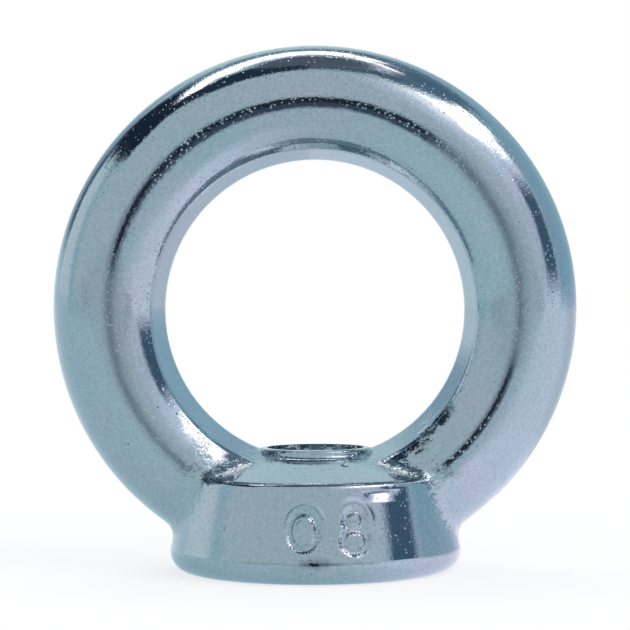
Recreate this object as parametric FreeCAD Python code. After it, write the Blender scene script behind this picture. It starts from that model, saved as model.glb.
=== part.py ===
import FreeCAD, Part
import math
import os
from FreeCAD import Vector

# Lifting eye nut with an M8 thread, drop forged in one piece. All sizes are in millimetres and degrees.
# The origin is the middle of the flat seat, +Z runs up the thread's axis, and Y runs through the eye.

# The ring is a round bar bent to a circle, which grows wider from front to back towards its foot.
ring_outer_dia = 36.0
bar_thickness = 8.0
bar_width_crown = 8.0
bar_width_foot = 9.0

# A tapered punch trims the flash from inside the eye and leaves a narrow band with a blunt nose.
# It cuts into the bar by the trim depth, and it sits a little low, so the bar is thicker at the crown.
trim_depth = 0.3
trim_drop = 0.15
trim_draft = 15.0
trim_nose_radius = 1.5
trim_edge_radius = 0.75

# The base is round, with drafted sides and a roof that falls away from the thread.
base_dia = 20.0
seat_edge_radius = 1.3
side_draft = 12.0
roof_edge_height = 6.5
roof_edge_radius = 0.5
roof_slope = 14.3
leg_blend_radius = 1.2

# The tapped hole runs right through, with a low collar round its upper end.
# The ring stands so deep in the base that the collar's crest clears its trimmed band by the saddle drop.
thread_minor_dia = 6.65
seat_countersink_dia = 9.0
countersink_slope = 45.0
collar_wall = 0.48
collar_rise = 0.55
collar_crest_radius = 0.2
collar_foot_radius = 0.35
saddle_drop = 0.8

up = Vector(0, 0, 1)
through_eye = Vector(0, 1, 0)
loft_spans = 16
full_turn = 360
touching = 1e-4


def sine(angle):
    return math.sin(math.radians(angle))


def cosine(angle):
    return math.cos(math.radians(angle))


def tangent(angle):
    return math.tan(math.radians(angle))


def at_base(radius, height):
    return Vector(radius, 0, height)


def point_on_arc(centre, radius, angle):
    return centre + at_base(radius * cosine(angle), radius * sine(angle))


def roof_height(radius):
    return roof_edge.z + (roof_edge.x - radius) * tangent(roof_slope)


# Worked out from the sizes above. The roof edge is where the side and the roof would meet without their rounding.
seat_corner = at_base(base_dia / 2 - seat_edge_radius, seat_edge_radius)
side_foot = point_on_arc(seat_corner, seat_edge_radius, side_draft)
side_rise = roof_edge_height - side_foot.z
roof_edge = at_base(side_foot.x - side_rise * tangent(side_draft), roof_edge_height)

bore_radius = thread_minor_dia / 2
collar_radius = bore_radius + collar_wall
collar_crest = roof_height(collar_radius) + collar_rise

bar_radius = bar_thickness / 2
bar_circle_radius = ring_outer_dia / 2 - bar_radius
bar_inner_radius = bar_circle_radius - bar_radius
punch_radius = bar_inner_radius + trim_depth
punch_centre = Vector(0, 0, collar_crest - saddle_drop + punch_radius)
eye_centre = punch_centre + up * trim_drop

# Keeps the buried ends of the bar and the collar well inside solid metal, or inside the hole that is cut later.
hidden_offset = bore_radius / 2


def arc(start, middle, end):
    return Part.Arc(start, middle, end).toShape()


def polyline(points):
    return [Part.makeLine(start, end) for start, end in zip(points, points[1:])]


def revolved(edges, centre, axis):
    """A solid turned from a closed outline about an axis through the centre."""
    return Part.Face(Part.Wire(edges)).revolve(centre, axis, full_turn)


def single_solid(shape):
    """The one solid that a cut or a fuse leaves."""
    if len(shape.Solids) != 1:
        raise ValueError("the shape is in %d pieces" % len(shape.Solids))
    return shape.Solids[0]


def neighbours(edge, solid):
    return [face for face in solid.Faces if any(edge.isSame(other) for other in face.Edges)]


def edges_between(solid, is_first, is_second):
    """Edges of the solid with one neighbour face of each kind."""
    found = []
    for edge in solid.Edges:
        beside = neighbours(edge, solid)
        if any(is_first(face) for face in beside) and any(is_second(face) for face in beside):
            found.append(edge)
    return found


def is_cone(face):
    return isinstance(face.Surface, Part.Cone)


def is_free_form(face):
    return isinstance(face.Surface, Part.BSplineSurface)


def bar_section(angle):
    """Outline of the bar at an angle round the eye from straight down, stretched to its width there."""
    outward = Vector(sine(angle), 0, -cosine(angle))
    middle = eye_centre + outward * bar_circle_radius
    outer = middle + outward * bar_radius
    inner = middle - outward * bar_radius
    front = arc(outer, middle - through_eye * bar_radius, inner)
    back = arc(inner, middle + through_eye * bar_radius, outer)
    share_of_foot = (1 + cosine(angle)) / 2
    width = bar_width_crown + (bar_width_foot - bar_width_crown) * share_of_foot
    stretch = FreeCAD.Matrix()
    stretch.A22 = width / bar_thickness
    return Part.Wire([front, back]).transformGeometry(stretch)


def bent_bar():
    """The ring before trimming: sections lofted round the eye, with both ends beside the thread's axis."""
    end_angle = math.degrees(math.asin(hidden_offset / bar_inner_radius))
    step = (full_turn - 2 * end_angle) / loft_spans
    sections = [bar_section(end_angle + step * i) for i in range(loft_spans + 1)]
    return Part.makeLoft(sections, True, False)


def trimming_punch():
    """A spool about the eye's axis: narrowest at the ring's mid plane, opening by the draft to both sides."""
    def at(radius, across):
        return Vector(radius, across, punch_centre.z)

    nose_across = trim_nose_radius * sine(trim_draft)
    nose_radius = punch_radius + trim_nose_radius * (1 - cosine(trim_draft))
    end_across = max(bar_width_crown, bar_width_foot)
    end_radius = nose_radius + (end_across - nose_across) * tangent(trim_draft)
    back_half = [at(nose_radius, nose_across), at(end_radius, end_across), at(0, end_across)]
    front_half = [at(0, -end_across), at(end_radius, -end_across), at(nose_radius, -nose_across)]
    nose = arc(at(nose_radius, -nose_across), at(punch_radius, 0), at(nose_radius, nose_across))
    return revolved(polyline(back_half + front_half) + [nose], punch_centre, through_eye)


def trimmed_ring():
    """The bent bar with the trimmed band inside the eye, whose two edges are broken by tumbling."""
    ring = single_solid(bent_bar().cut(trimming_punch()))
    band_edges = edges_between(ring, is_cone, is_free_form)
    return ring.makeFillet(trim_edge_radius, band_edges)


def standing_ring():
    """The trimmed ring, levelled off inside the base so that it never comes through the seat."""
    ring = trimmed_ring()
    reach = ring_outer_dia
    corner = Vector(-reach, -reach, seat_edge_radius - reach)
    return single_solid(ring.cut(Part.makeBox(2 * reach, 2 * reach, reach, corner)))


def turned_base():
    """Seat, rounded seat edge, drafted side, rounded roof edge and sloping roof, in one turned outline."""
    seat_end = point_on_arc(seat_corner, seat_edge_radius, -90)
    seat_middle = point_on_arc(seat_corner, seat_edge_radius, (side_draft - 90) / 2)

    half_turn = (90 - side_draft - roof_slope) / 2
    facing = side_draft + half_turn
    roof_corner = point_on_arc(roof_edge, -roof_edge_radius / cosine(half_turn), facing)
    side_head = point_on_arc(roof_corner, roof_edge_radius, side_draft)
    edge_middle = point_on_arc(roof_corner, roof_edge_radius, facing)
    roof_foot = point_on_arc(roof_corner, roof_edge_radius, 90 - roof_slope)

    seat_edge = arc(seat_end, seat_middle, side_foot)
    rounded_roof_edge = arc(side_head, edge_middle, roof_foot)
    side = Part.makeLine(side_foot, side_head)
    roof_and_seat = polyline([roof_foot, at_base(0, roof_height(0)), at_base(0, 0), seat_end])
    return revolved([seat_edge, side, rounded_roof_edge] + roof_and_seat, Vector(), up)


def lies_on(edge, skin):
    middle = edge.valueAt((edge.FirstParameter + edge.LastParameter) / 2)
    return Part.Vertex(middle).distToShape(skin)[0] < touching


def forged_blank():
    """Base and ring in one, with the hollow blends where the two legs stand on the base."""
    base = turned_base()
    ring = standing_ring()
    base_skin = base.Shells[0]
    ring_skin = ring.Shells[0]
    blank = single_solid(base.fuse(ring))
    foot_edges = [edge for edge in blank.Edges if lies_on(edge, base_skin) and lies_on(edge, ring_skin)]
    return blank.makeFillet(leg_blend_radius, foot_edges)


def collar():
    """The lip round the thread's upper end, reaching down into the base, with a rounded crest."""
    foot = roof_edge_height - hidden_offset
    crest_centre = at_base(collar_radius - collar_crest_radius, collar_crest - collar_crest_radius)
    outer_end = point_on_arc(crest_centre, collar_crest_radius, 0)
    crest_middle = point_on_arc(crest_centre, collar_crest_radius, 45)
    inner_end = point_on_arc(crest_centre, collar_crest_radius, 90)
    inside = [inner_end, at_base(hidden_offset, collar_crest), at_base(hidden_offset, foot)]
    outside = [at_base(collar_radius, foot), outer_end]
    return revolved(polyline(inside + outside) + [arc(outer_end, crest_middle, inner_end)], Vector(), up)


def is_collar_wall(face):
    surface = face.Surface
    return isinstance(surface, Part.Cylinder) and abs(surface.Radius - collar_radius) < touching


def is_beside_collar(face):
    return is_cone(face) or is_free_form(face)


def with_collar(blank):
    """Adds the collar and the small hollow at its foot."""
    joined = single_solid(blank.fuse(collar()))
    foot_edges = edges_between(joined, is_collar_wall, is_beside_collar)
    return joined.makeFillet(collar_foot_radius, foot_edges)


def tapped_hole():
    """The hole that is cut out: the thread's minor bore and the countersink at the seat."""
    sink_width = seat_countersink_dia / 2 - bore_radius
    sink_depth = sink_width / tangent(countersink_slope)
    mouth = at_base(bore_radius + 2 * sink_width, -sink_depth)
    wall = [at_base(bore_radius, sink_depth), at_base(bore_radius, eye_centre.z)]
    axis_ends = [at_base(0, eye_centre.z), at_base(0, -sink_depth)]
    return revolved(polyline([mouth] + wall + axis_ends + [mouth]), Vector(), up)


def eye_nut():
    return single_solid(with_collar(forged_blank()).cut(tapped_hole()))


os.makedirs("parts", exist_ok=True)
nut = eye_nut()
nut.exportStep("parts/eye_nut.step")
box = nut.optimalBoundingBox()
print("eye_nut: valid", nut.isValid(), "volume %.1f mm3" % nut.Volume, "faces", len(nut.Faces))
print("extents %.2f x %.2f x %.2f mm" % (box.XLength, box.YLength, box.ZLength))
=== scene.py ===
import math

import bmesh
import bpy
import numpy as np
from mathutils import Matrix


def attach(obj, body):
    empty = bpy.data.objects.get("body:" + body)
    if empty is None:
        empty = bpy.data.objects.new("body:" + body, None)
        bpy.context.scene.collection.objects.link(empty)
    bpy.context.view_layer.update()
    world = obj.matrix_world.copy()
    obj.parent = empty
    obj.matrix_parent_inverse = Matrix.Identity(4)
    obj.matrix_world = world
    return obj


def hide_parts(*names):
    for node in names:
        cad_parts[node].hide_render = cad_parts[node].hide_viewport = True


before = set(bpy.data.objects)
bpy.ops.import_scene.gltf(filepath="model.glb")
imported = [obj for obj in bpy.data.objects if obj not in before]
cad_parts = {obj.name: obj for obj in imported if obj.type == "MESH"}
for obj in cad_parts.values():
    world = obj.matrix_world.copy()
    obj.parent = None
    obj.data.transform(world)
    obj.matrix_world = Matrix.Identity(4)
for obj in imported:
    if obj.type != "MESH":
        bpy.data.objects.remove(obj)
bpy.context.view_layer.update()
print("frame loaded")

mm = 0.001
tiny = 1e-30  # keeps divisors and logarithms off zero


# Shader maths: values of sockets are written as Python expressions.

class Value:  # a socket's value, whose sums and products add Math nodes
    def __init__(self, graph, socket):
        self.graph = graph
        self.socket = socket

    def math(self, operation, *others):
        places = dict(enumerate((self,) + others))
        return self.graph.add("ShaderNodeMath", {"operation": operation}, places)

    def __add__(self, other):
        return self.math("ADD", other)

    def __sub__(self, other):
        return self.math("SUBTRACT", other)

    def __mul__(self, other):
        return self.math("MULTIPLY", other)

    def __truediv__(self, other):
        return self.math("DIVIDE", other)

    def __rsub__(self, other):
        return self.graph.add("ShaderNodeMath", {"operation": "SUBTRACT"}, {0: other, 1: self})

    def __neg__(self):
        return self * -1

    def __abs__(self):
        return self.math("ABSOLUTE")

    __radd__ = __add__
    __rmul__ = __mul__

    def step(self, low, high):  # 0 below low, 1 above high, and a smooth S between them
        sockets = {"Value": self, "From Min": low, "From Max": high}
        return self.graph.add("ShaderNodeMapRange", {"interpolation_type": "SMOOTHSTEP"}, sockets)

    def smaller(self, other):
        return self.math("MINIMUM", other)


class Graph:  # one node tree, which starts empty
    def __init__(self, owner):
        owner.use_nodes = True
        self.tree = owner.node_tree
        self.tree.nodes.clear()

    def add(self, kind, settings, sockets, output=0):
        node = self.tree.nodes.new(kind)
        for name, value in settings.items():
            setattr(node, name, value)
        for name, value in sockets.items():
            if isinstance(value, Value):
                self.tree.links.new(value.socket, node.inputs[name])
            else:
                node.inputs[name].default_value = value
        if node.outputs:
            return Value(self, node.outputs[output])

    def mix(self, share, first, second):  # two colours, by sockets 6 and 7 of the Mix node
        sockets = {0: share, 6: first, 7: second}
        return self.add("ShaderNodeMix", {"data_type": "RGBA"}, sockets, 2)

    def split(self, vector):  # the three parts of a vector or a colour
        node = self.add("ShaderNodeSeparateXYZ", {}, {0: vector})
        return [Value(self, output) for output in node.socket.node.outputs]

    def scaled(self, vector, share):
        return self.add("ShaderNodeVectorMath", {"operation": "SCALE"}, {0: vector, "Scale": share})

    def cells(self, place, scale):  # distance to the nearest cell's middle, and its three random shares
        node = self.add("ShaderNodeTexVoronoi", {}, {"Vector": place, "Scale": scale}).socket.node
        return Value(self, node.outputs["Distance"]), self.split(Value(self, node.outputs["Color"]))

    def noise(self, place, scale, detail=2.0, roughness=0.5):
        sockets = {"Vector": place, "Scale": scale, "Detail": detail, "Roughness": roughness}
        return self.add("ShaderNodeTexNoise", {}, sockets)


def tone(red, green, blue):
    return (red, green, blue, 1.0)


# The forging's mesh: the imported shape, with the plain bore swapped for a thread and the front of
# the base swapped for a fine patch that carries a stamped number.

baseSide = dict(  # millimetres and degrees, the first three as in the source of the part
    seatRadius=10.0,
    seatRounding=1.3,
    draft=12.0,
    middleHeight=3.5,
    top=6.25,  # just above its last points below the rounded roof edge
)

packed = dict(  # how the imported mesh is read
    doubled=0.001,  # millimetres: points nearer to each other than this are one
    near=0.01,  # and packed points nearer to a surface than this lie on it
    exact=0.001,  # and so do points of the patch, where it hasn't been stamped
    sharpEdge=32.0,  # degrees
)

thread = dict(
    boreRadius=3.325,
    pitch=1.25,
    depth=0.677,
    rootFlat=0.156,  # flat at the bottom of the groove
    crestFlat=0.3125,  # flat that the bore leaves
    low=1.175,
    high=8.355,
    seam=0.02,  # from the ends of the bore to the first row of the thread
    lowRunOut=0.45,
    highRunOut=(7.1, 7.9),
    turnSteps=96,
    rowSteps=176,
)

stamp = dict(
    middle=12.5,  # azimuth of the patch's middle, from the front towards +X
    halfAngle=29.5,
    margin=4.5,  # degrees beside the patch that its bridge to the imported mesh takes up
    low=1.72,
    high=6.1,
    acrossSteps=200,
    upSteps=90,
    depth=0.16,
    strokeFloor=0.03,  # half the width of the flat floor of a stroke
    strokeEdge=0.34,  # half the width of a stroke at the skin
    strokeBlend=0.05,  # how softly two strokes join
    rimLow=0.006,  # height of the soft rim beside a stroke, at the foot and at the head of a digit
    rimHigh=0.04,
    rimLevels=(3.2, 4.9),
    rimPlace=0.45,
    rimWidth=0.13,
    floorGrain=0.009,  # roughness that the punch leaves in a stroke
    grainFrom=0.02,  # share of a stroke's depth where the roughness starts
    grainSeed=8,
    ovals=[  # across, height, half width and half height of each oval's middle line
        (-0.70, 3.58, 0.92, 1.17),
        (2.66, 4.22, 0.61, 0.56),
        (2.66, 2.92, 0.81, 0.70),
    ],
)

shoulderDent = dict(  # a flat where the blow of the trimming press has turned the top of the side up
    azimuth=29.0,
    halfAngle=10.5,
    low=5.25,
    high=5.93,
    depth=0.2,
    ending=0.16,  # height over which it ends, above its deepest place
    fullness=1.5,  # the lower this is, the blunter are its two sides
)


def smoothStep(low, high, value):  # 0 below low, 1 above high, and a smooth S between them
    share = np.clip((value - low) / (high - low), 0, 1)
    return share * share * (3 - 2 * share)


def sideRadius(height):  # radius of the base's drafted side at a height, millimetres
    draft = math.radians(baseSide["draft"])
    rounding = baseSide["seatRounding"]
    footRadius = baseSide["seatRadius"] - rounding + rounding * math.cos(draft)
    footHeight = rounding + rounding * math.sin(draft)
    return footRadius - (height - footHeight) * math.tan(draft)


def sideNormal(azimuth):  # outward normal of the drafted side, for azimuths from the front
    draft = math.radians(baseSide["draft"])
    level = math.cos(draft)
    up = np.full_like(azimuth, math.sin(draft))
    return np.stack([level * np.sin(azimuth), -level * np.cos(azimuth), up], -1)


def strokeDistance(across, height):
    # distance to the nearest oval's middle line: for each oval its equation over the length of its
    # gradient, and of these the soft minimum, which is minus the logarithm of the sum of exp(-distance)
    blend = stamp["strokeBlend"]
    crowd = np.zeros_like(across)
    for x, z, wide, tall in stamp["ovals"]:
        right, up = across - x, height - z
        equation = (right / wide) ** 2 + (up / tall) ** 2 - 1
        steepness = np.hypot(right / wide ** 2, up / tall ** 2) + tiny
        crowd += np.exp(-np.abs(equation / (2 * steepness)) / blend)
    return -blend * np.log(crowd + tiny)


def dentDepth(azimuth, height):
    # deepens evenly from the lowest height to the highest and then ends at once, under a window of
    # (1 - b squared) to the power of the fullness, where b runs from -1 to 1 across the dent
    low, high = shoulderDent["low"], shoulderDent["high"]
    deepening = np.clip((height - low) / (high - low), 0, 1)
    ending = 1 - smoothStep(high, high + shoulderDent["ending"], height)
    beside = (np.degrees(azimuth) - shoulderDent["azimuth"]) / shoulderDent["halfAngle"]
    window = np.clip(1 - beside ** 2, 0, 1) ** shoulderDent["fullness"]
    return shoulderDent["depth"] * deepening * ending * window


def stampedPatch():
    # the drafted side as a grid over azimuth and height, sunk along its normal by the strokes' depth
    # and lifted by a low rim beside them
    half = math.radians(stamp["halfAngle"])
    middle = math.radians(stamp["middle"])
    azimuth = np.linspace(middle - half, middle + half, stamp["acrossSteps"] + 1)
    height = np.linspace(stamp["low"], stamp["high"], stamp["upSteps"] + 1)
    azimuth, height = np.meshgrid(azimuth, height)
    radius = sideRadius(height)
    away = strokeDistance(azimuth * sideRadius(baseSide["middleHeight"]), height)
    inStroke = 1 - smoothStep(stamp["strokeFloor"], stamp["strokeEdge"], away)
    grain = np.random.default_rng(stamp["grainSeed"]).normal(size=away.shape) * stamp["floorGrain"]
    head = smoothStep(*stamp["rimLevels"], height)
    rimHeight = stamp["rimLow"] + (stamp["rimHigh"] - stamp["rimLow"]) * head
    rim = rimHeight * np.exp(-((away - stamp["rimPlace"]) / stamp["rimWidth"]) ** 2)
    roughened = (inStroke > stamp["grainFrom"]) * grain
    lift = rim - inStroke * stamp["depth"] + roughened - dentDepth(azimuth, height)
    skin = np.stack([radius * np.sin(azimuth), -radius * np.cos(azimuth), height], -1)
    return (skin + sideNormal(azimuth) * lift[..., None]) * mm


def threadSurface():
    # a grid over turn and height: the bore's radius plus a groove whose middle climbs one pitch a turn,
    # with a flat floor and straight flanks, and which runs out at both ends
    turn = np.arange(thread["turnSteps"]) * 2 * math.pi / thread["turnSteps"]
    low, high = thread["low"] + thread["seam"], thread["high"] - thread["seam"]
    height = np.linspace(low, high, thread["rowSteps"] + 1)
    turn, height = np.meshgrid(turn, height)
    pitch = thread["pitch"]
    phase = (height / pitch - turn / (2 * math.pi)) % 1
    away = np.abs(phase - 0.5) * pitch
    flank = (pitch - thread["rootFlat"] - thread["crestFlat"]) / 2
    groove = thread["depth"] * np.clip(1 - (away - thread["rootFlat"] / 2) / flank, 0, 1)
    lowEnd = smoothStep(low, low + thread["lowRunOut"], height)
    highEnd = 1 - smoothStep(*thread["highRunOut"], height)
    radius = thread["boreRadius"] + groove * lowEnd * highEnd
    return np.stack([radius * np.cos(turn), radius * np.sin(turn), height], -1) * mm


def gridFaces(rows, columns, closed):
    # two triangles for each cell of a grid of points, whose last column joins its first where closed
    across = columns if closed else columns - 1
    row, column = np.meshgrid(np.arange(rows - 1), np.arange(across), indexing="ij")
    following = (column + 1) % columns
    a, b = row * columns + column, row * columns + following
    c, d = (row + 1) * columns + following, (row + 1) * columns + column
    corners = np.concatenate([np.stack([a, b, c], -1), np.stack([a, c, d], -1)])
    return corners.reshape(-1, 3)


def bridge(first, firstAngle, second, secondAngle):
    # triangles between two closed loops that run round the same middle: all points are taken in the
    # order of their angles, and each makes a triangle of its own step and the other loop's last point
    first = first[np.argsort(firstAngle)]
    second = second[np.argsort(secondAngle)]
    angle = np.concatenate([np.sort(firstAngle), np.sort(secondAngle)])
    ofFirst = np.arange(len(angle)) < len(first)
    order = np.argsort(angle, kind="stable")
    ofFirst = ofFirst[order]
    firstAt = (np.cumsum(ofFirst) - 1) % len(first)
    secondAt = (np.cumsum(~ofFirst) - 1) % len(second)
    isFirst = np.stack([first[firstAt], first[(firstAt - 1) % len(first)], second[secondAt]], -1)
    isSecond = np.stack([second[(secondAt - 1) % len(second)], second[secondAt], first[firstAt]], -1)
    return np.where(ofFirst[:, None], isFirst, isSecond)


def turned(points, faces, outward):
    # the same triangles, each turned to face the way that outward gives at its middle
    corners = points[faces]
    normal = np.cross(corners[:, 1] - corners[:, 0], corners[:, 2] - corners[:, 0])
    wrong = (normal * outward(corners.mean(1))).sum(-1) < 0
    return np.where(wrong[:, None], faces[:, ::-1], faces)


def openLoop(faces):
    # corners of the one loop that a set of triangles leaves open: edges that no other triangle shares
    edges = np.concatenate([faces[:, [0, 1]], faces[:, [1, 2]], faces[:, [2, 0]]])
    keys = np.sort(edges, 1)
    found, counts = np.unique(keys, axis=0, return_counts=True)
    return np.unique(found[counts == 1])


def packedMesh(node):
    # points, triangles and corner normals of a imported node, with its doubled points merged
    mesh = node.data.copy()
    normals = np.empty(len(mesh.loops) * 3, np.float32)
    mesh.corner_normals.foreach_get("vector", normals)
    kept = mesh.attributes.new("kept", "FLOAT_VECTOR", "CORNER")
    kept.data.foreach_set("vector", normals)
    work = bmesh.new()
    work.from_mesh(mesh)
    bmesh.ops.remove_doubles(work, verts=work.verts, dist=packed["doubled"] * mm)
    work.to_mesh(mesh)
    work.free()
    points = np.empty(len(mesh.vertices) * 3, np.float32)
    mesh.vertices.foreach_get("co", points)
    faces = np.empty(len(mesh.loops), np.int32)
    mesh.loops.foreach_get("vertex_index", faces)
    normals = np.empty(len(mesh.loops) * 3, np.float32)
    mesh.attributes["kept"].data.foreach_get("vector", normals)
    bpy.data.meshes.remove(mesh)
    return points.reshape(-1, 3).astype(float), faces.reshape(-1, 3), normals.reshape(-1, 3, 3)


def sideAzimuth(points):
    return np.arctan2(points[..., 0], -points[..., 1])


def forging(node):
    points, faces, normals = packedMesh(node)
    radius = np.hypot(points[:, 0], points[:, 1]) / mm
    height = points[:, 2] / mm
    near = packed["near"]

    onBore = (np.abs(radius - thread["boreRadius"]) < near) & (height < thread["high"] + near)
    bore = onBore[faces].all(1)
    onSide = np.abs(radius - sideRadius(height)) < near
    reach = math.radians(stamp["halfAngle"] + stamp["margin"])
    offMiddle = np.abs(sideAzimuth(points) - math.radians(stamp["middle"]))
    front = (onSide & (offMiddle < reach) & (height < baseSide["top"]))[faces].all(1)
    frontLoop = openLoop(faces[front])
    boreLoop = openLoop(faces[bore])
    boreLow = boreLoop[height[boreLoop] < (thread["low"] + thread["high"]) / 2]
    boreHigh = np.setdiff1d(boreLoop, boreLow)
    keep = ~(bore | front)

    patch = stampedPatch()
    rows, columns = patch.shape[:2]
    patchFaces = gridFaces(rows, columns, False)
    patchStart = len(points)
    patchLoop = openLoop(patchFaces)
    patchPoints = patch.reshape(-1, 3)

    helix = threadSurface()
    helixRows, helixColumns = helix.shape[:2]
    helixFaces = gridFaces(helixRows, helixColumns, True)
    helixStart = patchStart + len(patchPoints)
    helixPoints = helix.reshape(-1, 3)
    points = np.concatenate([points, patchPoints, helixPoints])

    def aroundPatch(index):
        across = sideAzimuth(points[index]) - math.radians(stamp["middle"])
        up = points[index, 2] / mm - (stamp["low"] + stamp["high"]) / 2
        return np.arctan2(up, across * sideRadius(baseSide["middleHeight"]))

    def aroundBore(index):
        return np.arctan2(points[index, 1], points[index, 0])

    lowRow = helixStart + np.arange(helixColumns)
    highRow = lowRow + (helixRows - 1) * helixColumns
    patchRim = patchStart + patchLoop
    sideFaces = np.concatenate([
        patchFaces + patchStart,
        bridge(frontLoop, aroundPatch(frontLoop), patchRim, aroundPatch(patchRim)),
    ])
    wallFaces = np.concatenate([
        helixFaces + helixStart,
        bridge(boreLow, aroundBore(boreLow), lowRow, aroundBore(lowRow)),
        bridge(boreHigh, aroundBore(boreHigh), highRow, aroundBore(highRow)),
    ])
    sideFaces = turned(points, sideFaces, lambda at: sideNormal(sideAzimuth(at)))
    wallFaces = turned(points, wallFaces, lambda at: at * (-1, -1, 0))
    allFaces = np.concatenate([faces[keep], sideFaces, wallFaces])

    used, places = np.unique(allFaces, return_inverse=True)
    mesh = bpy.data.meshes.new("forging")
    mesh.from_pydata(points[used], [], places.reshape(-1, 3).tolist())
    mesh.shade_smooth()
    mesh.set_sharp_from_angle(angle=math.radians(packed["sharpEdge"]))
    cornerNormals = np.empty(len(mesh.loops) * 3, np.float32)
    mesh.corner_normals.foreach_get("vector", cornerNormals)
    cornerNormals = cornerNormals.reshape(-1, 3, 3)
    cornerNormals[:keep.sum()] = normals[keep]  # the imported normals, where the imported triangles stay
    sidePart = slice(keep.sum(), keep.sum() + len(sideFaces))
    corners = points[sideFaces]
    cornerRadius = np.hypot(corners[..., 0], corners[..., 1]) / mm
    untouched = np.abs(cornerRadius - sideRadius(corners[..., 2] / mm)) < packed["exact"]
    drafted = sideNormal(sideAzimuth(corners))
    cornerNormals[sidePart] = np.where(untouched[..., None], drafted, cornerNormals[sidePart])
    mesh.normals_split_custom_set(cornerNormals.reshape(-1, 3))
    piece = bpy.data.objects.new("forging", mesh)
    bpy.context.scene.collection.objects.link(piece)
    print("forging:", len(mesh.polygons), "triangles")
    return piece


# The finish: bright zinc with a blue tint over a forged skin. Lengths are millimetres.

zinc = dict(
    teal=tone(0.335, 0.425, 0.475),
    lavender=tone(0.385, 0.415, 0.485),
    pitColour=tone(0.05, 0.06, 0.07),
    tint=(0.16, 3.0, 0.6),  # noise: how many a millimetre, detail and its roughness
    tintRange=(0.45, 0.75),
    mottle=(5.0, 3.0, 0.5),
    mottleShare=0.5,
    roughness=0.08,
    cloud=(1.1, 4.0, 0.65),
    cloudShare=0.08,
    waves=[  # unevenness of the forged skin: how many a millimetre, height and detail
        (0.35, 0.022, 1.0),
        (1.7, 0.0055, 1.0),
        (6.5, 0.0021, 2.0),
    ],
    pitScale=0.8,
    pitShare=0.5,
    pitEdge=0.05,  # share of the cells that have a half deep pit
    pitFloor=0.3,  # share of a pit's radius that is its floor
    pitRadius=0.085,
    pitDepth=0.03,
    pitDarkness=0.7,
    pitRoughness=0.3,
    speckScale=5.2,
    speckRadius=0.085,
    speckRise=0.0145,
    speckRarity=3.0,  # the higher this is, the fewer specks are tall or deep
    scaleWave=(2.3, 0.11, 3.0),  # as the waves, where the legs meet the base
    scaleReach=(0.2, 1.2),
    scaleTop=(9.0, 12.0),
    eyeHeight=18.0,  # of the ring's middle, and the circle and the radius of its bar
    barCircle=14.0,
    barRadius=4.0,
    footWidth=1.12,
    roofEdge=(8.92, 6.5),  # radius and height
    roofSlope=0.2549,
    wearHalf=(0.6, 1.6),  # the crest is duller at the sides of the ring, where it has lain on others
    wearSide=(6.8, 9.6),
    wearRight=(12.5, 15.5),  # heights, on the right above these and on the left below these
    wearLeft=(19.5, 22.5),
    wearRoughness=0.16,
)

marks = dict(
    reachInner=0.1,  # share of a dent's radius that is its floor
    dents=[  # place, radius, depth and darkness: a smear, three dents and two dotted scratches
        ((-0.75, -9.95, 1.52), 0.42, 0.003, 0.3),
        ((-0.25, -9.95, 1.54), 0.5, 0.004, 0.42),
        ((0.25, -9.98, 1.5), 0.56, 0.005, 0.48),
        ((0.8, -9.95, 1.52), 0.46, 0.004, 0.38),
        ((-5.88, -7.51, 3.56), 0.28, 0.03, 0.25),
        ((-7.05, -5.43, 6.4), 0.3, 0.03, 0.6),
        ((1.99, -4.83, 7.44), 0.32, 0.09, 0.0),
        ((-15.48, -3.86, 19.87), 0.09, 0.02, 0.4),
        ((-15.5, -3.87, 19.3), 0.09, 0.02, 0.4),
        ((-15.52, -3.89, 18.7), 0.09, 0.02, 0.4),
        ((-15.55, -3.91, 18.19), 0.09, 0.02, 0.4),
        ((-3.4, -3.98, 32.15), 0.09, -0.02, 0.0),
        ((-3.27, -3.99, 31.97), 0.09, -0.02, 0.0),
        ((-3.14, -4.0, 31.8), 0.09, -0.02, 0.0),
    ],
)


def skinRise(graph, place):
    # height of the forged skin in millimetres, and how far each point lies in a pit, from 0 to 1
    skin = 0.0
    for scale, rise, detail in zinc["waves"]:
        skin = skin + graph.noise(place, scale, detail) * rise

    cell, pick = graph.cells(place, zinc["pitScale"])
    reach = zinc["pitRadius"] * zinc["pitScale"]
    chosen = pick[0].step(1 - zinc["pitShare"], 1 - zinc["pitShare"] + zinc["pitEdge"])
    pit = (1 - cell.step(reach * zinc["pitFloor"], reach)) * chosen

    cell, pick = graph.cells(place, zinc["speckScale"])
    rise = (pick[1] * 2 - 1).math("POWER", zinc["speckRarity"])
    speck = (1 - cell.step(0.0, zinc["speckRadius"] * zinc["speckScale"])) * rise
    return skin + speck * zinc["speckRise"], pit


def fromBarCircle(x, z):  # how far outside the circle of the bar's middle a point lies
    return (x * x + (z - zinc["eyeHeight"]).math("POWER", 2.0)).math("SQRT") - zinc["barCircle"]


def legScale(graph, place):
    # the forged scale is rough where the skins of the ring and of the base are both near
    x, y, z = graph.split(place)
    centre = fromBarCircle(x, z)
    across = y / zinc["footWidth"]
    ringAway = abs((centre * centre + across * across).math("SQRT") - zinc["barRadius"])
    radius = (x * x + y * y).math("SQRT")
    edgeRadius, edgeHeight = zinc["roofEdge"]
    roofAway = abs(z - edgeHeight + (radius - edgeRadius) * zinc["roofSlope"])
    draft = math.tan(math.radians(baseSide["draft"]))
    sideAway = abs(radius - edgeRadius + (z - edgeHeight) * draft)
    byRing = 1 - ringAway.step(*zinc["scaleReach"])
    byBase = 1 - roofAway.smaller(sideAway).step(*zinc["scaleReach"])
    scale, rise, detail = zinc["scaleWave"]
    return graph.noise(place, scale, detail) * byRing * byBase * (1 - z.step(*zinc["scaleTop"])) * rise


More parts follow.
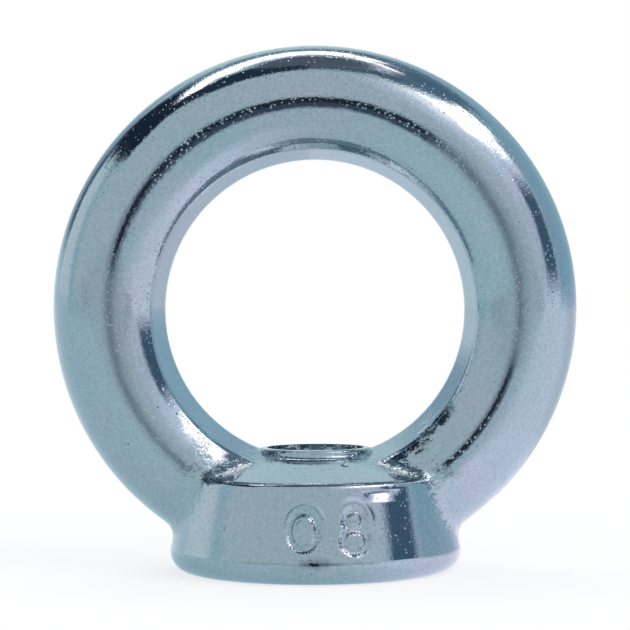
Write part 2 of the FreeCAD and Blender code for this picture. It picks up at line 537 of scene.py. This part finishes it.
def crestWear(graph, place):
    x, y, z = graph.split(place)
    onCrest = 1 - abs(fromBarCircle(x, z)).step(*zinc["wearHalf"])
    right = x.step(*zinc["wearSide"]) * z.step(*zinc["wearRight"])
    left = (-x).step(*zinc["wearSide"]) * (1 - z.step(*zinc["wearLeft"]))
    return onCrest * (right + left) * zinc["wearRoughness"]


def zincFinish():
    material = bpy.data.materials.new("blue zinc plating")
    graph = Graph(material)
    spot = graph.add("ShaderNodeTexCoord", {}, {}, "Object")
    place = graph.scaled(spot, 1 / mm)

    tint = graph.noise(place, *zinc["tint"]).step(*zinc["tintRange"])
    mottle = 1 + (graph.noise(place, *zinc["mottle"]) - 0.5) * zinc["mottleShare"]
    colour = graph.scaled(graph.mix(tint, zinc["teal"], zinc["lavender"]), mottle)

    skin, pit = skinRise(graph, place)
    colour = graph.mix(pit * zinc["pitDarkness"], colour, zinc["pitColour"])
    skin = skin + legScale(graph, place)
    for at, reach, depth, dark in marks["dents"]:
        away = graph.add("ShaderNodeVectorMath", {"operation": "DISTANCE"}, {0: place, 1: at}, 1)
        dent = 1 - away.step(reach * marks["reachInner"], reach)
        skin = skin - dent * depth
        if dark:
            colour = graph.mix(dent * dark, colour, zinc["pitColour"])
    height = skin - pit * zinc["pitDepth"]
    normal = graph.add("ShaderNodeBump", {}, {"Strength": 1.0, "Distance": mm, "Height": height})

    cloud = (graph.noise(place, *zinc["cloud"]) - 0.5) * zinc["cloudShare"]
    roughness = zinc["roughness"] + cloud + pit * zinc["pitRoughness"] + crestWear(graph, place)
    sockets = {"Base Color": colour, "Metallic": 1.0, "Roughness": roughness, "Normal": normal}
    surface = graph.add("ShaderNodeBsdfPrincipled", {}, sockets)
    graph.add("ShaderNodeOutputMaterial", {}, {"Surface": surface})
    print("zinc finish made")
    return material


# The studio: a pale tent with soft boxes and dark gaps, a pale floor, and the camera.

boxTone = tone(3.3, 2.8, 2.6)  # soft box behind the nut
keyTone = tone(3.5, 2.9, 2.8)  # soft box in front, to the right
gapTone = tone(0.02, 0.035, 0.06)  # gap between two walls of the tent

studio = dict(  # degrees: azimuths run from the camera towards +X, and heights from level
    left=tone(0.61, 0.81, 0.88),
    right=tone(1.22, 1.20, 1.34),
    rightTurn=10.0,  # the right tone is fullest this far behind +X
    ahead=tone(0.62, 0.80, 0.87),
    aheadMiddle=5.0,
    aheadHalf=(8.0, 45.0),
    behind=tone(0.74, 0.82, 0.94),
    behindMiddle=158.0,
    behindHalf=(28.0, 66.0),
    cards=[  # middle, half width, lowest, highest, lean, softness and tone, each over those before it
        (-20, 60, 4, 66, 0, 10, tone(0.79, 0.87, 0.90)),  # front wall
        (-5, 55, -10, 7, 0, 8, tone(0.64, 0.72, 0.75)),
        (4, 15, -10, 9, 0, 8, tone(0.42, 0.48, 0.52)),
        (52, 11, 4, 30, 0, 8, tone(0.88, 0.93, 1.02)),
        (-110, 17, 2, 36, 0, 10, tone(1.02, 1.06, 1.08)),  # left wall
        (-148, 22, 9, 36, 0, 8, tone(0.42, 0.57, 0.68)),
        (180, 22, 4, 46, 0, 12, tone(0.76, 0.92, 0.95)),  # back wall
        (130, 40, 1, 50, 0, 12, tone(0.46, 0.67, 0.79)),
        (150, 32, 44, 60, 0, 6, tone(0.22, 0.32, 0.40)),
        (-160, 22, 44, 57, 0, 6, tone(0.32, 0.44, 0.52)),
        (-131, 7, 13, 55, 0, 7, tone(0.13, 0.20, 0.27)),
        (108, 34, 50, 72, 0, 8, tone(0.15, 0.27, 0.36)),
        (66, 28, 60, 72, 0, 5, tone(0.20, 0.29, 0.36)),
        (22, 44, 67, 77, 0, 5, tone(0.15, 0.20, 0.25)),
        (-50, 42, 56.3, 84, 0.226, 4, tone(0.03, 0.055, 0.09)),  # dark seam under the roof
        (-96, 33, 36.5, 57, 0, 4, gapTone),
        (-122, 12, 33, 45, 0, 5, gapTone),
        (0, 181, 76, 95, 0, 4, tone(0.17, 0.20, 0.24)),  # the roof, right round
        (-141, 53, 57.2, 65, 0, 3, boxTone),  # strip of light along the back
        (-149, 45, 64, 71, 0, 3, boxTone),
        (172, 24, 60.5, 70.5, 0, 3, boxTone),
        (138, 28, 68.5, 72, 0, 3, boxTone),
        (42, 24, 26, 58, 0, 16, tone(1.15, 1.15, 1.3)),  # key light with the glow round it
        (40, 11, 37, 56, 0, 10, tone(2.0, 1.75, 1.75)),
        (63, 22, 38, 56.5, 0, 4, keyTone),
        (90, 8, 44, 55.5, 0, 4, keyTone),
        (75, 14, 6, 31, 0, 9, tone(0.105, 0.185, 0.27)),  # dark stand below the key light
    ],
)


def groundTone(graph, azimuth):
    # the tent below eye level: teal to the left, lavender to the right, duller ahead and behind
    side = (azimuth - studio["rightTurn"]).math("RADIANS").math("SINE") * 0.5 + 0.5
    sides = graph.mix(side, studio["left"], studio["right"])
    ahead = 1 - abs(azimuth - studio["aheadMiddle"]).step(*studio["aheadHalf"])
    behind = 1 - abs(azimuth - studio["behindMiddle"]).step(*studio["behindHalf"])
    return graph.mix(behind, graph.mix(ahead, sides, studio["ahead"]), studio["behind"])


def fromFront(x, y):  # azimuth in degrees, from the front towards +X
    return x.math("ARCTAN2", -y) * math.degrees(1)


def studioWorld():
    # the tone of each direction, where each card has soft edges half its softness to both sides
    world = bpy.data.worlds.new("studio")
    bpy.context.scene.world = world
    graph = Graph(world)
    way = graph.add("ShaderNodeTexCoord", {}, {}, "Generated")
    x, y, z = graph.split(way)
    azimuth = fromFront(x, y)
    elevation = z.math("ARCSINE") * math.degrees(1)
    light = groundTone(graph, azimuth)
    for middle, half, low, high, lean, softness, cardTone in studio["cards"]:
        soft = softness / 2
        off = (azimuth - middle).math("WRAP", 180, -180)
        level = elevation - off * lean
        beside = 1 - abs(off).step(half - soft, half + soft)
        above = level.step(low - soft, low + soft)
        below = 1 - level.step(high - soft, high + soft)
        light = graph.mix(beside * above * below, light, cardTone)
    byCamera = graph.add("ShaderNodeLightPath", {}, {}, "Is Camera Ray")
    seen = graph.mix(byCamera, light, tone(1, 1, 1))
    background = graph.add("ShaderNodeBackground", {}, {"Color": seen, "Strength": 1.0})
    graph.add("ShaderNodeOutputWorld", {}, {"Surface": background})
    print("world set")


floorPlace = dict(  # millimetres and degrees
    reach=3000.0,
    gap=0.01,  # below the seat, so that the two don't lie in one plane
    pale=tone(0.34, 0.34, 0.34),
    glow=0.72,
    paintedNearGlow=tone(1.3, 1.26, 1.44),  # painted light: a brighter glow on the mirrored floor close beside the nut, to the right
    nearReach=(22.0, 42.0),
    nearSide=(-4.0, 17.0),
    shadeTone=tone(0.05, 0.07, 0.10),
    shadeReach=(95.0, 230.0),  # the mirrored floor darkens towards the camera's body
    shadeHalfAngle=(4.0, 11.0),
)


def floorMaterial():
    # white to the camera, with the nut's shadow on it, and in the tent's tones to everything else
    material = bpy.data.materials.new("pale floor")
    graph = Graph(material)
    x, y, z = graph.split(graph.scaled(graph.add("ShaderNodeTexCoord", {}, {}, "Object"), 1 / mm))
    azimuth = fromFront(x, y)
    unseen = 1 - graph.add("ShaderNodeLightPath", {}, {}, "Is Camera Ray")
    shade = (-y).step(*floorPlace["shadeReach"])
    shade = shade * (1 - abs(azimuth).step(*floorPlace["shadeHalfAngle"])) * unseen
    # painted light: close beside the nut, to the right, the floor glows brighter to every ray but the
    # camera's
    near = 1 - (x * x + y * y).math("SQRT").step(*floorPlace["nearReach"])
    near = near * x.step(*floorPlace["nearSide"])
    ground = graph.mix(near, groundTone(graph, azimuth), floorPlace["paintedNearGlow"])
    ground = graph.mix(unseen, tone(1, 1, 1), ground)
    glowTone = graph.mix(shade, ground, floorPlace["shadeTone"])
    pale = graph.mix(shade, floorPlace["pale"], floorPlace["shadeTone"])
    matt = graph.add("ShaderNodeBsdfDiffuse", {}, {"Color": pale})
    glow = graph.add("ShaderNodeEmission", {}, {"Color": glowTone, "Strength": floorPlace["glow"]})
    both = graph.add("ShaderNodeAddShader", {}, {0: matt, 1: glow})
    under = graph.add("ShaderNodeNewGeometry", {}, {}, "Backfacing")  # clear from below
    clear = graph.add("ShaderNodeBsdfTransparent", {}, {})
    seen = graph.add("ShaderNodeMixShader", {}, {0: under, 1: both, 2: clear})
    graph.add("ShaderNodeOutputMaterial", {}, {"Surface": seen})
    return material


def flatFace(name, corners, material):
    mesh = bpy.data.meshes.new(name)
    mesh.from_pydata(np.array(corners) * mm, [], [tuple(range(len(corners)))])
    mesh.materials.append(material)
    face = bpy.data.objects.new(name, mesh)
    bpy.context.scene.collection.objects.link(face)
    return face


def studioFloor():
    reach, level = floorPlace["reach"], -floorPlace["gap"]
    sides = ((-reach, -reach), (reach, -reach), (reach, reach), (-reach, reach))
    floor = flatFace("floor", [(x, y, level) for x, y in sides], floorMaterial())
    print("floor laid")


cameraPlace = dict(
    distance=144.28,
    height=18.05,
    turn=-0.647,  # degrees round the nut, from straight in front towards -X
    lens=119.59,
    aimAcross=0.0085,  # degrees from the axis of the nut to the middle of the picture
    aimUp=-0.234,
    roll=0.286,
    clipStart=0.01,  # metres
    bodyDistance=1400.0,
    bodyTone=tone(0.02, 0.03, 0.05),
    bodyOutline=[  # degrees to the right and up, as the metal mirrors it
        (-4.5, 6.8), (-2, 8.5), (1.5, 8), (2.4, 3.2), (3.5, 0), (5.5, -3.2), (6.5, -6), (4.5, -9),
        (2.5, -8), (1.5, -4), (-0.3, -5.5), (-2.2, -4), (-2.6, 0), (-3.6, 2), (-5, 4.2),
    ],
)


def camera():
    turn = math.radians(cameraPlace["turn"])
    distance = cameraPlace["distance"] * mm
    data = bpy.data.cameras.new("camera")
    data.lens = cameraPlace["lens"]
    data.clip_start = cameraPlace["clipStart"]
    eye = bpy.data.objects.new("camera", data)
    eye.location = (-math.sin(turn) * distance, -math.cos(turn) * distance, cameraPlace["height"] * mm)
    pitch = math.radians(90 + cameraPlace["aimUp"])
    heading = -turn - math.radians(cameraPlace["aimAcross"])
    eye.rotation_euler = (pitch, math.radians(cameraPlace["roll"]), heading)
    bpy.context.scene.collection.objects.link(eye)
    bpy.context.scene.camera = eye


def cameraBody():
    # a dark flat shape behind the camera, which only the metal mirrors, as it does a real camera's
    # body and stand: its corners are the tangents of the outline's angles times its distance
    material = bpy.data.materials.new("dark camera body")
    graph = Graph(material)
    sockets = {"Color": cameraPlace["bodyTone"], "Strength": 1.0}
    dark = graph.add("ShaderNodeEmission", {}, sockets)
    graph.add("ShaderNodeOutputMaterial", {}, {"Surface": dark})
    away = cameraPlace["bodyDistance"]
    right, up = np.tan(np.radians(np.array(cameraPlace["bodyOutline"]))).T * away
    corners = np.stack([right, np.full(len(right), -away), up + cameraPlace["height"]], -1)
    body = flatFace("camera_body", corners, material)
    body.visible_camera = False
    body.visible_diffuse = False
    body.visible_shadow = False
    print("camera set")


piece = forging(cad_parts["eye_nut"])
piece.data.materials.append(zincFinish())
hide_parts("eye_nut")
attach(piece, "root")

studioWorld()
studioFloor()
camera()
cameraBody()

view = bpy.context.scene.view_settings
view.view_transform = "Standard"
